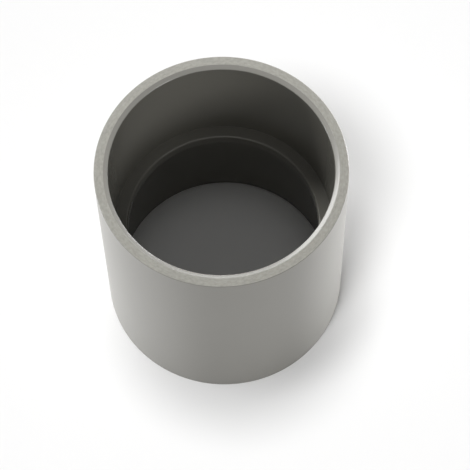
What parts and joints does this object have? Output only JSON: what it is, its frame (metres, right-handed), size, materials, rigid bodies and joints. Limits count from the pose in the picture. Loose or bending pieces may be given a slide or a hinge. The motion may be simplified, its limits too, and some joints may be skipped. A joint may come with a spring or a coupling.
{
  "type": "pipe coupling",
  "caption": "Short straight pipe coupling in grey plastic: an open tube with a plain bevelled socket at each end and a stop ring at mid-length.",
  "frame": {"origin": "centre of the lower end face, on the tube's axis", "axes": "+Z along the tube's axis, out of the upper socket; both ends are alike and X and Y are free"},
  "size_m": [0.0485, 0.0484, 0.0517],
  "materials": {
    "grey_plastic": "warm mid grey moulded plastic with a satin skin; the end faces are duller, with fine tool marks"
  },
  "bodies": {
    "root": {"coupling_body": "grey_plastic"}
  },
  "joints": []
}
